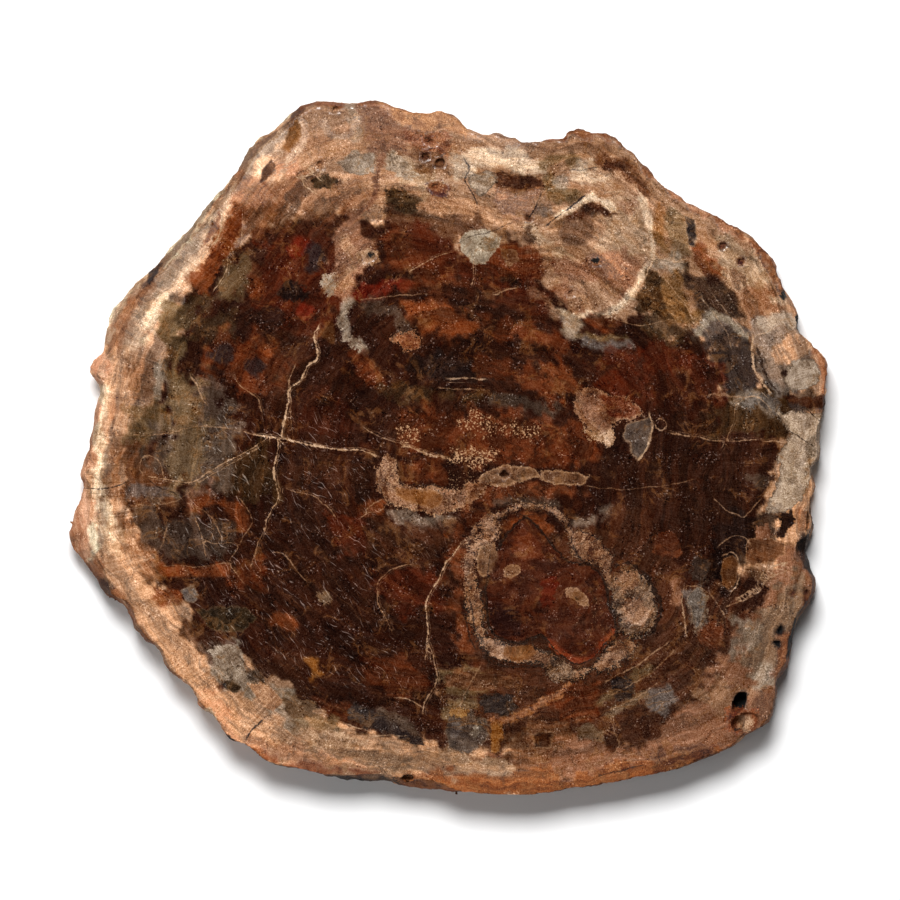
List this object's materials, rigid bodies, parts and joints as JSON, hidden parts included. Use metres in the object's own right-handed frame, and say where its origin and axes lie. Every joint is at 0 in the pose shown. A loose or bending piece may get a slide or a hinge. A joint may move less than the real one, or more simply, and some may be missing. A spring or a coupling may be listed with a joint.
{
  "type": "petrified wood slice",
  "caption": "Thick slab sawn across a fossil log, with a polished agate face, a matt sawn back and a rough bark edge. Lies flat as a display piece.",
  "frame": {"origin": "middle of the sawn back, at the bottom centre of the slab's box", "axes": "+X along the slab's longest side, to the right in the picture; +Y towards its narrower end, up in the picture; +Z out of the polished face"},
  "size_m": [0.5099, 0.4667, 0.038],
  "materials": {
    "petrified_wood": "polished agate face in dark brown, rust and cream, with a rough peach and brown bark edge and a matt sawn back"
  },
  "bodies": {
    "root": {"petrified_wood_slice": "petrified_wood"}
  },
  "joints": []
}
